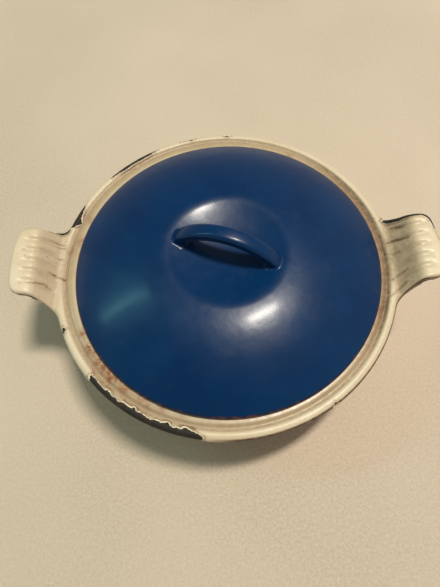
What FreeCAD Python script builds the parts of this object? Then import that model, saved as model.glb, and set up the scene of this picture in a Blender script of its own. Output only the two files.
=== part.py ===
"""Round enamelled cast-iron dutch oven: a pot with two fluted wing handles, and a domed lid with a dish and a loop.

Millimetres. The origin is the centre of the foot ring on the surface it stands on, +X runs through the two wing
handles and +Z is up. Each casting is modelled at its finished outer surface, and again one enamel coat thinner.
The thinner one is the iron, and what is left between the two is the enamel.
"""

import FreeCAD, Part
import math
import os

# Driving dimensions -------------------------------------------------------------------------------------------------

ENAMEL = 0.6                 # one fused coat of enamel
CLOSE = 0.01                 # two positions this near each other are the same

# Pot
SEAT_Z = 79.8                # flat ledge that carries the lid
MOUTH_R = 110.4
LEDGE_R = 120.0              # where the ledge ends and the groove starts
GROOVE_R = 122.6
GROOVE_Z = SEAT_Z - 3.2
BEAD_INNER_R = 125.0
RIM_R = 130.5                # outermost point of the rim
RIM_TOP_Z = SEAT_Z + 0.6
RIM_UNDER_Z = 71.5
WALL_TOP = (115.5, 69.0)     # outer face of the wall, just under the rim
WALL_FOOT_R = 108.0          # the same face carried down to the base
BASE_Z = 1.5                 # the base stands this far off the surface
BASE_BEND = 24.0
INSIDE_FLOOR_Z = 6.0
INSIDE_FLOOR_R = 103.5
INSIDE_BEND = 20.0
FOOT_INNER_R = 84.0
FOOT_OUTER_R = 90.0
FOOT_EDGE = 0.8

# Wing handles
WING_TIP = 157.5             # from the pot's axis to the handle's end
WING_HALF_WIDTH = 27.5
WING_THICK = 8.0
WING_RISE = 19.6             # top face at the tip, above the ledge
WING_EDGE = 2.0              # rounding of its edges
WING_CORNER = 9.0
WING_END_BOW = 110.0         # radius of the slightly bowed end
WING_ROOT_FILLET = 26.0
WING_ROOT_CIRCLE = 128.0     # the root fillets run out on this circle, just inside the rim
WING_BENDS = (9.0, 11.0)     # the two bends of the top face, at the root and at the shoulder
WING_START = 112.0           # where the handle starts, inside the rim
FLUTES = 5
FLUTE_PITCH = 8.6
FLUTE_R = 1.7
FLUTE_DEPTH = 0.9
FLUTE_OUT = 149.5            # the flutes stop here, short of the tip

# Lid
LID_R = 115.0
LID_Z = SEAT_Z + 0.2         # underside of the lid's edge
LID_EDGE = 3.0               # thickness of that edge
LID_EDGE_TOP_R = 1.6         # roundings of the edge, above and below
LID_EDGE_UNDER_R = 1.0
LID_WALL = 4.8
DISH_R = 135.0               # radius of the dish's hollow
CREST_BEND = 20.0            # radius of the roll between dish and dome
CREST_AT = 46.0              # where the lid is highest, from its axis
DOME_R = 153.0               # radius of the dome
DOME_AT = 33.8               # the dome's centre, from the lid's axis
LIP_INNER_R = 104.0          # locating lip that drops into the pot's mouth
LIP_OUTER_R = 107.0
LIP_Z = 75.0
LIP_EDGE_R = 1.2             # roundings of the lip's free edge, and of its roots towards the seat and the dome
LIP_SEAT_R = 0.8
LIP_DOME_R = 2.5
BARE_LIP = 1.5               # the lip's outer half and the lid's seat are bare iron,
BARE_EDGE = 0.8              # up to this far from the lid's rim
LID_SHIFT = (1.8, -1.8)      # the lid lies this far off centre, within the play of its lip
LID_TURN = -19.0             # and is turned this many degrees from the wing handles

# Loop on the lid
LOOP_TOP = 46.5              # above the lid's seat
LOOP_WIDTH = 11.5
LOOP_THICK = 8.5
LOOP_CORNER = 3.6
LOOP_REACH = 38.0            # half the distance between its ends
LOOP_END_Z = 20.0            # height of the loop's middle line at its ends, above the lid's seat
LOOP_FILLET = 3.5


# Geometry helpers ---------------------------------------------------------------------------------------------------

def at(x, z):
    """A point in the vertical plane y = 0."""
    return FreeCAD.Vector(x, 0, z)


def cross(a, b):
    return a.x * b.z - a.z * b.x


def offset_corners(corners, inset):
    """The corners of a closed outline, given anticlockwise as seen from -Y, moved inwards by inset. A corner on the
    Z axis stays on it."""
    moved = []
    count = len(corners)
    for i in range(count):
        before = (corners[i] - corners[i - 1]).normalize()
        after = (corners[(i + 1) % count] - corners[i]).normalize()
        in_before = at(-before.z, before.x)
        in_after = at(-after.z, after.x)
        bisector = in_before + in_after
        shifted = corners[i] + bisector * (inset * 2.0 / bisector.dot(bisector))
        if corners[i].x == 0:
            shifted.x = 0
        moved.append(shifted)
    return moved


def rounded_edges(corners, radii, closed=True):
    """Straight edges joined by arcs: each corner is rounded by its radius, or left sharp where that is 0."""
    edges = []
    ends = []
    count = len(corners)
    for i in range(count):
        corner = corners[i]
        if radii[i]:
            before = (corners[i - 1] - corner).normalize()
            after = (corners[(i + 1) % count] - corner).normalize()
            half = before.getAngle(after) / 2.0
            start = corner + before * (radii[i] / math.tan(half))
            end = corner + after * (radii[i] / math.tan(half))
            middle = corner + (before + after).normalize() * (radii[i] / math.sin(half) - radii[i])
            edges.append(Part.Arc(start, middle, end).toShape())
        else:
            start = corner
            end = corner
        ends.append((start, end))
    for i in range(count if closed else count - 1):
        edges.append(Part.makeLine(ends[i][1], ends[(i + 1) % count][0]))
    return Part.__sortEdges__(edges)


def inset_outline(outline, inset):
    """The corners and radii of [(x, z, radius), ...], anticlockwise seen from -Y, after it shrinks by inset. A radius
    shrinks at a corner that points out and grows at one that points in."""
    sharp = [at(x, z) for x, z, _ in outline]
    radii = []
    for i, (_, _, radius) in enumerate(outline):
        before = sharp[i - 1] - sharp[i]
        after = sharp[(i + 1) % len(sharp)] - sharp[i]
        points_out = cross(before, after) < 0
        change = -inset if points_out else inset
        radii.append(radius + change if radius else 0)
    return offset_corners(sharp, inset), radii


def rounded_face(outline, inset=0.0):
    """A face in the plane y = 0 from such an outline, shrunk by inset."""
    corners, radii = inset_outline(outline, inset)
    return Part.Face(Part.Wire(rounded_edges(corners, radii)))


def turned(face):
    """The solid that a face in the plane y = 0 sweeps round the Z axis."""
    return face.revolve(FreeCAD.Vector(0, 0, 0), FreeCAD.Vector(0, 0, 1), 360)


def ring(inner, outer, low, high):
    return Part.makeCylinder(outer, high - low, at(0, low)).cut(Part.makeCylinder(inner, high - low, at(0, low)))


def one_solid(shape):
    """The single solid in a boolean's result."""
    solids = shape.Solids
    if len(solids) != 1:
        raise ValueError("expected one solid, got %d" % len(solids))
    return solids[0]


# Pot ----------------------------------------------------------------------------------------------------------------

POT_SECTION = [
    (0, BASE_Z, 0),
    (WALL_FOOT_R, BASE_Z, BASE_BEND),
    (WALL_TOP[0], WALL_TOP[1], 6.0),
    (RIM_R, RIM_UNDER_Z, 3.5),
    (RIM_R, RIM_TOP_Z, 4.0),
    (BEAD_INNER_R, RIM_TOP_Z, 2.5),
    (GROOVE_R, GROOVE_Z, 2.2),
    (LEDGE_R, SEAT_Z, 2.0),
    (MOUTH_R, SEAT_Z, 1.5),
    (INSIDE_FLOOR_R, INSIDE_FLOOR_Z, INSIDE_BEND),
    (0, INSIDE_FLOOR_Z, 0),
]

# The handle's top face from inside the rim, over the root and the shoulder to the tip, and its underside back again
WING_TOP = [
    (WING_START, SEAT_Z - 4.3, 0),
    (126.5, SEAT_Z - 1.0, WING_BENDS[0]),
    (140.0, SEAT_Z + 18.4, WING_BENDS[1]),
    (WING_TIP, SEAT_Z + WING_RISE, 0),
]
WING_UNDER = [
    (WING_START, SEAT_Z - 7.2, 0),
    (131.0, SEAT_Z - 7.2, WING_BENDS[0] + WING_THICK),
    (144.2, SEAT_Z + 11.0, WING_BENDS[1] - WING_THICK),
    (WING_TIP, SEAT_Z + WING_RISE - WING_THICK, 0),
]
WING_SECTION = WING_UNDER + WING_TOP[::-1]


def wing_plan(inset):
    """The handle's outline from above: a bowed end, round corners, straight sides, and root fillets that run out on
    the rim."""
    half = WING_HALF_WIDTH - inset
    fillet_y = WING_HALF_WIDTH + WING_ROOT_FILLET
    fillet_x = math.sqrt((WING_ROOT_CIRCLE + WING_ROOT_FILLET) ** 2 - fillet_y ** 2)
    fillet_turn = math.atan2(fillet_y, fillet_x)
    fillet_r = WING_ROOT_FILLET + inset
    corner_y = WING_HALF_WIDTH - WING_CORNER
    bow_x = WING_TIP - WING_END_BOW
    corner_x = bow_x + math.sqrt((WING_END_BOW - WING_CORNER) ** 2 - corner_y ** 2)
    corner_turn = math.atan2(corner_y, corner_x - bow_x)
    corner_r = WING_CORNER - inset

    def point(x, y, r=0.0, turn=0.0):
        return FreeCAD.Vector(x + r * math.cos(turn), y + r * math.sin(turn), 0)

    upper = [
        point(bow_x, 0, WING_END_BOW - inset, corner_turn),
        point(corner_x, corner_y, corner_r, (corner_turn + math.pi / 2) / 2),
        point(corner_x, half),
        point(fillet_x, half),
        point(fillet_x, fillet_y, fillet_r, (fillet_turn - math.pi * 1.5) / 2),
        point(0, 0, WING_ROOT_CIRCLE - inset, fillet_turn),
        point(WING_START, fillet_y * WING_START / fillet_x),
    ]
    lower = [FreeCAD.Vector(p.x, -p.y, 0) for p in upper]
    edges = [Part.Arc(lower[0], point(WING_TIP - inset, 0), upper[0]).toShape()]
    for side in (upper, lower):
        edges.append(Part.Arc(side[0], side[1], side[2]).toShape())
        edges.append(Part.makeLine(side[2], side[3]))
        edges.append(Part.Arc(side[3], side[4], side[5]).toShape())
        edges.append(Part.makeLine(side[5], side[6]))
    edges.append(Part.makeLine(upper[6], lower[6]))
    return Part.Face(Part.Wire(Part.__sortEdges__(edges)))


def is_upright(face):
    """Whether a face stands vertical."""
    u0, u1, v0, v1 = face.ParameterRange
    return abs(face.normalAt((u0 + u1) / 2, (v0 + v1) / 2).z) < CLOSE


def wing(inset):
    """The handle on the +X side."""
    section = rounded_face(WING_SECTION, inset)
    section.translate(FreeCAD.Vector(0, -RIM_R, 0))
    slab = section.extrude(FreeCAD.Vector(0, 2 * RIM_R, 0))
    plan = wing_plan(inset)
    column = plan.extrude(FreeCAD.Vector(0, 0, 2 * SEAT_Z))
    body = one_solid(slab.common(column))
    buried = min(v.X for v in plan.Vertexes if v.X > WING_START)
    shown_edges = []
    for edge in body.Edges:
        upright = [is_upright(face) for face in body.ancestorsOfType(edge, Part.Face)]
        if sum(upright) == 1 and edge.BoundBox.XMin > buried - CLOSE:
            shown_edges.append(edge)
    return body.makeFillet(WING_EDGE - inset, shown_edges)


def flute(across, inset):
    """The tool that cuts one flute: a round bar along the top face, its middle above that face, that stops short of
    the tip."""
    corners, radii = inset_outline(WING_SECTION, FLUTE_DEPTH - FLUTE_R)
    tip, shoulder, root, start = corners[len(WING_UNDER):]
    share = (FLUTE_OUT - shoulder.x) / (tip.x - shoulder.x)
    stop = shoulder + (tip - shoulder) * share
    path = Part.Wire(rounded_edges([start, root, shoulder, stop], [0, WING_BENDS[0], WING_BENDS[1], 0], False))
    radius = FLUTE_R + inset
    section = Part.Wire(Part.makeCircle(radius, start, root - start))
    bar = path.makePipeShell([section], True, True).fuse(Part.makeSphere(radius, stop))
    bar.translate(FreeCAD.Vector(0, across, 0))
    return bar


def pot(inset):
    """The pot with both handles, its surface moved in by inset, without the foot."""
    body = turned(rounded_face(POT_SECTION, inset))
    handle = wing(inset)
    for i in range(FLUTES):
        handle = handle.cut(flute((i - (FLUTES - 1) / 2) * FLUTE_PITCH, inset))
    other = handle.copy()
    other.rotate(FreeCAD.Vector(0, 0, 0), FreeCAD.Vector(0, 0, 1), 180)
    return one_solid(body.fuse([handle, other]))


def inside_zone():
    """The part of space that the inner coat lies in: everything inside the middle of the pot's wall, out to the
    bottom of the groove."""
    base_middle = (BASE_Z + INSIDE_FLOOR_Z) / 2
    rim_middle = (RIM_UNDER_Z + GROOVE_Z) / 2
    outline = [
        (0, base_middle, 0),
        ((WALL_FOOT_R + INSIDE_FLOOR_R) / 2, base_middle, (BASE_BEND + INSIDE_BEND) / 2),
        ((WALL_TOP[0] + MOUTH_R) / 2, rim_middle, 0),
        (GROOVE_R, rim_middle, 0),
        (GROOVE_R, 2 * SEAT_Z, 0),
        (0, 2 * SEAT_Z, 0),
    ]
    return turned(rounded_face(outline))


# Lid ----------------------------------------------------------------------------------------------------------------

DOME_CENTRE = at(DOME_AT, LID_Z + LID_EDGE - math.sqrt(DOME_R ** 2 - (LID_R - DOME_AT) ** 2))
CREST_CENTRE = at(CREST_AT, DOME_CENTRE.z + math.sqrt((DOME_R - CREST_BEND) ** 2 - (CREST_AT - DOME_AT) ** 2))
DISH_CENTRE = at(0, CREST_CENTRE.z + math.sqrt((DISH_R + CREST_BEND) ** 2 - CREST_AT ** 2))


def on_arc(centre, radius, direction):
    return centre + FreeCAD.Vector(direction).normalize() * radius


def dome_height(depth, r):
    """Height of the dome at r, taken depth below its top face."""
    return DOME_CENTRE.z + math.sqrt((DOME_R - depth) ** 2 - (r - DOME_AT) ** 2)


def lid_line(depth, outer_r):
    """The lid's meridian depth below its top face, from the axis out to outer_r: dish, roll and dome, tangent to each
    other."""
    to_dish = CREST_CENTRE - DISH_CENTRE
    from_dome = CREST_CENTRE - DOME_CENTRE
    start = on_arc(DISH_CENTRE, DISH_R + depth, at(0, -1))
    roll_in = on_arc(DISH_CENTRE, DISH_R + depth, to_dish)
    roll_out = on_arc(DOME_CENTRE, DOME_R - depth, from_dome)
    end = at(outer_r, dome_height(depth, outer_r))
    dish_middle = on_arc(DISH_CENTRE, DISH_R + depth, start + roll_in - DISH_CENTRE * 2)
    crest = on_arc(CREST_CENTRE, CREST_BEND - depth, at(0, 1))
    dome_middle = on_arc(DOME_CENTRE, DOME_R - depth, roll_out + end - DOME_CENTRE * 2)
    return [
        Part.Arc(start, dish_middle, roll_in).toShape(),
        Part.Arc(roll_in, crest, roll_out).toShape(),
        Part.Arc(roll_out, dome_middle, end).toShape(),
    ]


def circle_edges(solid, r, z):
    """The circular edges of a turned solid at radius r and height z."""
    found = []
    for edge in solid.Edges:
        point = edge.valueAt(edge.FirstParameter)
        if abs(math.hypot(point.x, point.y) - r) < CLOSE and abs(point.z - z) < CLOSE:
            found.append(edge)
    return found


def lid_shell(inset):
    """The lid without its loop: dome, edge and locating lip."""
    top = lid_line(inset, LID_R - inset)
    under = lid_line(LID_WALL - inset, LIP_INNER_R + inset)
    seat = LID_Z + inset
    lip = LIP_Z + inset
    edge_top = dome_height(inset, LID_R - inset)
    lip_root = dome_height(LID_WALL - inset, LIP_INNER_R + inset)
    corners = [
        at(LID_R - inset, edge_top),
        at(LID_R - inset, seat),
        at(LIP_OUTER_R - inset, seat),
        at(LIP_OUTER_R - inset, lip),
        at(LIP_INNER_R + inset, lip),
        at(LIP_INNER_R + inset, lip_root),
    ]
    edges = top + under
    for start, end in zip(corners, corners[1:]):
        edges.append(Part.makeLine(start, end))
    edges.append(Part.makeLine(top[0].Vertexes[0].Point, under[0].Vertexes[0].Point))
    shell = turned(Part.Face(Part.Wire(Part.__sortEdges__(edges))))
    roundings = [
        (corners[0], LID_EDGE_TOP_R - inset),
        (corners[1], LID_EDGE_UNDER_R - inset),
        (corners[2], LIP_SEAT_R + inset),
        (corners[3], LIP_EDGE_R - inset),
        (corners[4], LIP_EDGE_R - inset),
        (corners[5], LIP_DOME_R + inset),
    ]
    for corner, radius in roundings:
        shell = shell.makeFillet(radius, circle_edges(shell, corner.x, corner.z))
    return shell


def loop_section(inset):
    """The loop's section at its highest point, in the plane x = 0."""
    half_width = LOOP_WIDTH / 2
    top = LID_Z + LOOP_TOP
    outline = [
        (-half_width, top - LOOP_THICK, LOOP_CORNER),
        (half_width, top - LOOP_THICK, LOOP_CORNER),
        (half_width, top, LOOP_CORNER),
        (-half_width, top, LOOP_CORNER),
    ]
    face = rounded_face(outline, inset)
    face.rotate(FreeCAD.Vector(0, 0, 0), FreeCAD.Vector(0, 0, 1), 90)
    return face


def loop(inset):
    """The arched bar over the dish, running along X, with its ends buried in the lid's wall."""
    apex = LID_Z + LOOP_TOP - LOOP_THICK / 2
    rise = apex - LID_Z - LOOP_END_Z
    radius = (LOOP_REACH ** 2 + rise ** 2) / (2 * rise)
    centre = at(0, apex - radius)
    half_sweep = math.degrees(math.asin(LOOP_REACH / radius))
    section = loop_section(inset)
    section.rotate(centre, FreeCAD.Vector(0, 1, 0), -half_sweep)
    bar = section.revolve(centre, FreeCAD.Vector(0, 1, 0), 2 * half_sweep)
    middle = lid_line(LID_WALL / 2, LID_R)
    sky = 2 * SEAT_Z
    edges = middle + [
        Part.makeLine(middle[2].Vertexes[-1].Point, at(LID_R, sky)),
        Part.makeLine(at(LID_R, sky), at(0, sky)),
        Part.makeLine(at(0, sky), middle[0].Vertexes[0].Point),
    ]
    above = turned(Part.Face(Part.Wire(Part.__sortEdges__(edges))))
    return one_solid(bar.common(above))


def lid(inset):
    """The lid and its loop, its surface moved in by inset, set down on the pot as it lies."""
    shell = lid_shell(inset)
    shell.rotate(FreeCAD.Vector(0, 0, 0), FreeCAD.Vector(0, 0, 1), 90)   # its seam clear of the loop's ends
    whole = one_solid(shell.fuse(loop(inset)))
    above_dome = CREST_CENTRE.z + CREST_BEND + LOOP_FILLET
    roots = []
    for edge in whole.Edges:
        meets_loop = any(face.BoundBox.ZMax > above_dome for face in whole.ancestorsOfType(edge, Part.Face))
        if meets_loop and edge.BoundBox.ZMax < above_dome:
            roots.append(edge)
    whole = whole.makeFillet(LOOP_FILLET + inset, roots)
    whole.rotate(FreeCAD.Vector(0, 0, 0), FreeCAD.Vector(0, 0, 1), LID_TURN)
    whole.translate(FreeCAD.Vector(LID_SHIFT[0], LID_SHIFT[1], 0))
    return one_solid(whole)


# The pieces ---------------------------------------------------------------------------------------------------------

def placed_on_lid(solid):
    """The same solid moved from the pot's axis to where the lid lies."""
    solid.translate(FreeCAD.Vector(LID_SHIFT[0], LID_SHIFT[1], 0))
    return solid


def pot_pieces():
    """The pot's casting with its bare foot, and the three coats around it."""
    foot = ring(FOOT_INNER_R, FOOT_OUTER_R, 0, BASE_Z + 2 * ENAMEL)
    foot = foot.makeFillet(FOOT_EDGE, circle_edges(foot, FOOT_OUTER_R, 0) + circle_edges(foot, FOOT_INNER_R, 0))
    casting = one_solid(pot(ENAMEL).fuse(foot))
    coats = pot(0.0).cut(casting)
    zone = inside_zone()
    inner = one_solid(coats.common(zone))
    outside = coats.cut(zone).Solids
    outside.sort(key=lambda coat: coat.Volume)
    base, outer = outside
    return {
        "pot_casting": casting,
        "pot_outer_enamel": outer,
        "pot_inner_enamel": inner,
        "pot_base_enamel": base,
    }


def lid_pieces():
    """The lid's casting, bare where it sits on the pot, and the coats above and below."""
    finished = lid(0.0)
    bare = placed_on_lid(ring(LIP_OUTER_R - BARE_LIP, LID_R - BARE_EDGE, LIP_Z - ENAMEL, LID_Z + LID_EDGE / 2))
    casting = one_solid(lid(ENAMEL).fuse(finished.common(bare)))
    coats = finished.cut(casting).Solids
    coats.sort(key=lambda coat: coat.Volume)
    under, top = coats
    return {
        "lid_casting": casting,
        "lid_outer_enamel": top,
        "lid_inner_enamel": under,
    }


def main():
    os.makedirs("parts", exist_ok=True)
    for name, solid in {**pot_pieces(), **lid_pieces()}.items():
        if not solid.isValid():
            raise ValueError("%s is not a valid solid" % name)
        solid.exportStep("parts/%s.step" % name)
        print("%-18s %8.2f cm3" % (name, solid.Volume / 1000))


main()
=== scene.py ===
"""The looks of a round enamelled cast-iron dutch oven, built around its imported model.

Lengths inside the geometry functions are millimetres in the row frame, and make_piece turns them into metres.
"""

import math

import bpy
import numpy as np
from mathutils import Matrix, Vector, noise
from mathutils.kdtree import KDTree


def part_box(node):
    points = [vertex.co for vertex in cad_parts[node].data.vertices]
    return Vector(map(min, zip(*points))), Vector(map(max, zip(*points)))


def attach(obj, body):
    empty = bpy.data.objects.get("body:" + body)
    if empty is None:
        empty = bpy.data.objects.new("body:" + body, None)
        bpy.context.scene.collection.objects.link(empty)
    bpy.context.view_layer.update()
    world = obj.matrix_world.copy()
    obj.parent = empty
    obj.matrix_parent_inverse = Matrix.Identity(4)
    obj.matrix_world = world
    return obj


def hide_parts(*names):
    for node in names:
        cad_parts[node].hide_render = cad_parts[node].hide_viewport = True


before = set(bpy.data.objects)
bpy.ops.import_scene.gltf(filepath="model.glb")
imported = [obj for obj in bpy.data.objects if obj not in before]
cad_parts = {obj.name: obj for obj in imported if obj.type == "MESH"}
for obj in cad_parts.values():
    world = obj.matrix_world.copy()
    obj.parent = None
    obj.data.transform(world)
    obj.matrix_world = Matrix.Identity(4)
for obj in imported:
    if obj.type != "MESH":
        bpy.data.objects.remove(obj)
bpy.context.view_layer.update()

MM = 0.001


def box_mm(node):
    """A CAD node's lowest and highest corner in millimetres."""
    low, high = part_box(node)
    return np.array(low) / MM, np.array(high) / MM


# Dimensions -------------------------------------

ENAMEL = 0.6

WING_TIP = box_mm("pot_outer_enamel")[1][0]
RIM_R = 130.5
SEAT_Z = box_mm("pot_inner_enamel")[1][2]
MOUTH_R = 110.4
LEDGE_R = 120.0
GROOVE_R = 122.6
GROOVE_Z = SEAT_Z - 3.2
BEAD_INNER_R = 125.0
RIM_TOP_Z = SEAT_Z + 0.6
WALL_TOP = (115.5, 69.0)
RIM_UNDER_Z = 71.5
WALL_FOOT_R = 108.0
BASE_Z = 1.5
FOOT = (84.0, 90.0)
INSIDE_FLOOR = (103.5, 6.0)

WING_HALF_WIDTH = 27.5
WING_CORNER = 9.0
WING_END_BOW = 110.0
WING_FILLET = 22.0
FLUTES = 5
FLUTE_PITCH = 8.6
FLUTE_HALF_WIDTH = 3.3
FLUTE_DEPTH = 1.6

lid_low, lid_high = box_mm("lid_outer_enamel")
LID_CENTRE = (lid_low[:2] + lid_high[:2]) / 2
LID_R = (lid_high[0] - lid_low[0]) / 2
LID_Z = SEAT_Z + 0.2
LOOP_TOP_Z = lid_high[2]
LID_EDGE = 3.0
LID_WALL = 4.8
LID_TURN = math.radians(-19.0)
DISH_R, CREST_BEND, CREST_AT, DOME_R, DOME_AT = 135.0, 20.0, 46.0, 153.0, 33.8
LIP_R = (104.0, 107.0)
LIP_Z = 75.0
LOOP_WIDTH, LOOP_THICK, LOOP_REACH, LOOP_END_Z = 11.5, 8.5, 38.0, 20.0


# Small maths ------------------------------------

def smoothstep(low, high, x):
    t = np.clip((np.asarray(x, float) - low) / (high - low), 0.0, 1.0)
    return t * t * (3 - 2 * t)


def smooth_max(a, b, width):
    return 0.5 * (a + b + np.sqrt((a - b) ** 2 + width ** 2))


def smooth_min(a, b, width):
    return -smooth_max(-a, -b, width)


def unit(v):
    return v / np.maximum(np.linalg.norm(v, axis=-1, keepdims=True), 1e-12)


def rounded(corners, step=0.6):
    """Points along straight lines whose corners are rounded: [(x, z, radius), ...], ends left as they are."""
    points = [np.array(corners[0][:2], float)]
    for before, corner, after in zip(corners, corners[1:], corners[2:]):
        p, radius = np.array(corner[:2], float), corner[2]
        if not radius:
            points.append(p)
            continue
        a, b = unit(np.array(before[:2]) - p), unit(np.array(after[:2]) - p)
        half = math.acos(np.clip(a @ b, -1, 1)) / 2
        centre = p + unit(a + b) * radius / math.sin(half)
        first = p + a * radius / math.tan(half) - centre
        last = p + b * radius / math.tan(half) - centre
        start = math.atan2(first[1], first[0])
        sweep = (math.atan2(last[1], last[0]) - start + math.pi) % (2 * math.pi) - math.pi
        turns = start + np.linspace(0, sweep, max(4, int(radius * abs(sweep) / step) + 2))
        points += list(centre + radius * np.stack([np.cos(turns), np.sin(turns)], 1))
    points.append(np.array(corners[-1][:2], float))
    return np.array(points)


def refined(line, longest):
    """The same line with no stretch longer than longest."""
    points = [line[0]]
    for a, b in zip(line, line[1:]):
        count = max(1, int(np.ceil(np.linalg.norm(b - a) / longest)))
        points += [a + (b - a) * (i + 1) / count for i in range(count)]
    return np.array(points)


def line_normals(line):
    """Unit normals of an open line, to the right of its direction."""
    along = unit(np.gradient(line, axis=0))
    return np.stack([along[:, 1], -along[:, 0]], 1)


def fractal(points, size, octaves=3, seed=0.0):
    """Fractal noise, about -1 to 1, at points in millimetres."""
    offset = Vector((seed, seed * 1.7, seed * 0.3))
    return np.array([noise.fractal(Vector(p) / size + offset, 1.0, 2.0, octaves) for p in points])


# Meshes -----------------------------------------

def make_piece(name, vertices, faces, material, body, replaced, marks=None, sharp=40.0):
    """A shaded mesh piece from millimetre vertices. marks gives each vertex three numbers: dirt and painted shade,
    rust (with painted shade at the lid's foot), broken.
    """
    mesh = bpy.data.meshes.new(name)
    mesh.from_pydata((np.asarray(vertices) * MM).tolist(), [], [list(map(int, f)) for f in faces])
    mesh.validate()
    mesh.polygons.foreach_set("use_smooth", [True] * len(mesh.polygons))
    mesh.set_sharp_from_angle(angle=math.radians(sharp))
    if marks is not None:
        layer = mesh.attributes.new("marks", "FLOAT_COLOR", "POINT")
        colours = np.hstack([marks, np.ones((len(marks), 1))])
        layer.data.foreach_set("color", colours.astype(np.float32).ravel())
    mesh.materials.append(material)
    piece = bpy.data.objects.new(name, mesh)
    bpy.context.scene.collection.objects.link(piece)
    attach(piece, body)
    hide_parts(*replaced)


def ring_faces(rings, rays):
    """Quads between rings of rays points each, closed round the ring. Ring k point j has index k * rays + j."""
    k, j = np.meshgrid(np.arange(rings - 1), np.arange(rays), indexing="ij")
    here, below, nxt = k * rays, (k + 1) * rays, (j + 1) % rays
    return np.stack([here + j, below + j, below + nxt, here + nxt], -1).reshape(-1, 4)


def spun(line, turn):
    """Points by ring and ray: a line of (r, z) turned round the vertical into each direction."""
    r, z = line[:, 0:1], line[:, 1:2]
    return np.stack([r * np.cos(turn), r * np.sin(turn), z + 0 * turn], -1)


def capped(grid, first_z, last_z):
    """Vertices and faces of a solid made of rings of points, each end closed to one point on the axis."""
    rings, rays = grid.shape[:2]
    first, last, base = rings * rays, rings * rays + 1, (rings - 1) * rays
    vertices = np.vstack([grid.reshape(-1, 3), [[0, 0, first_z], [0, 0, last_z]]])
    faces = ring_faces(rings, rays).tolist()
    for j in range(rays):
        nxt = (j + 1) % rays
        faces += [[first, j, nxt], [base + j, last, base + nxt]]
    return vertices, faces


def closed_turning(line, rays=360):
    """Vertices and faces of a solid turned from an outline of (r, z), closed or with both ends on the axis."""
    on_axis = line[0][0] < 1e-6 and line[-1][0] < 1e-6
    body = line[1:-1] if on_axis else line
    grid = spun(body, np.linspace(0, 2 * math.pi, rays, endpoint=False))
    if on_axis:
        return capped(grid, line[0][1], line[-1][1])
    faces = ring_faces(len(body) + 1, rays) % (len(body) * rays)
    return grid.reshape(-1, 3), faces.tolist()


def between(face_line, depth):
    """The closed outline of a coat: a line of (r, z), and the same line depth to its right, back again."""
    inner = face_line + line_normals(face_line) * depth
    inner[face_line[:, 0] < 1e-6, 0] = 0.0
    return np.vstack([face_line, inner[::-1]])


# The pot's outer face ---------------------------

def wing_outline(step=0.25):
    """Plan of a quarter of the pot, from the middle of the right handle's end round to +Y: points, outward normals
    and how far each is along the outline."""
    fillet_y = WING_HALF_WIDTH + WING_FILLET
    fillet_x = math.sqrt((RIM_R + WING_FILLET) ** 2 - fillet_y ** 2)
    fillet_turn = math.atan2(fillet_y, fillet_x)
    corner_y = WING_HALF_WIDTH - WING_CORNER
    bow_x = WING_TIP - WING_END_BOW
    corner_x = bow_x + math.sqrt((WING_END_BOW - WING_CORNER) ** 2 - corner_y ** 2)
    corner_turn = math.atan2(corner_y, corner_x - bow_x)
    half = math.pi / 2
    points, normals = [], []
    for x, y, radius, start, end in (
        (bow_x, 0.0, WING_END_BOW, 0.0, corner_turn),
        (corner_x, corner_y, WING_CORNER, corner_turn, half),
        (fillet_x, fillet_y, -WING_FILLET, half, fillet_turn),
        (0.0, 0.0, RIM_R, fillet_turn, half),
    ):
        count = int(abs(radius * (end - start)) / step) + 2
        turns = np.linspace(start, end, count)
        spokes = np.stack([np.cos(turns), np.sin(turns)], 1)
        points.append(np.array([x, y]) + radius * spokes)
        normals.append(spokes)
        if radius == WING_CORNER:
            across = np.arange(corner_x - step, fillet_x, -step)
            points.append(np.stack([across, np.full(len(across), WING_HALF_WIDTH)], 1))
            normals.append(np.tile([0.0, 1.0], (len(across), 1)))
    points, normals = np.vstack(points), np.vstack(normals)
    along = np.concatenate([[0], np.cumsum(np.linalg.norm(np.diff(points, axis=0), axis=1))])
    return points, normals, along


OUTLINE, OUTLINE_NORMALS, OUTLINE_ALONG = wing_outline()
OUTLINE_TURN = np.arctan2(OUTLINE[:, 1], OUTLINE[:, 0])
QUARTER = OUTLINE_ALONG[-1]


def folded(turn):
    """The same direction folded into the quarter between +X and +Y."""
    return np.arctan2(np.abs(np.sin(turn)), np.abs(np.cos(turn)))


def silhouette(turn, inset):
    """Distance from the axis to the outline, moved in by inset, along each ray."""
    turn = folded(turn)
    inset = np.broadcast_to(inset, turn.shape)
    found = np.empty(turn.shape)
    for value in np.unique(inset):
        moved = OUTLINE - value * OUTLINE_NORMALS
        chosen = inset == value
        where = np.arctan2(moved[:, 1], moved[:, 0])
        found[chosen] = np.interp(turn[chosen], where, np.hypot(moved[:, 0], moved[:, 1]))
    return found


def length_at(turn):
    """How far along the whole outline, anticlockwise from the right handle's end, each ray meets it."""
    turn = np.asarray(turn, float) % (2 * math.pi)
    quarter = np.interp(folded(turn), OUTLINE_TURN, OUTLINE_ALONG)
    index = (turn // (math.pi / 2)).astype(int)
    return np.where(index % 2 == 0, index * QUARTER + quarter, (index + 1) * QUARTER - quarter)


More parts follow.
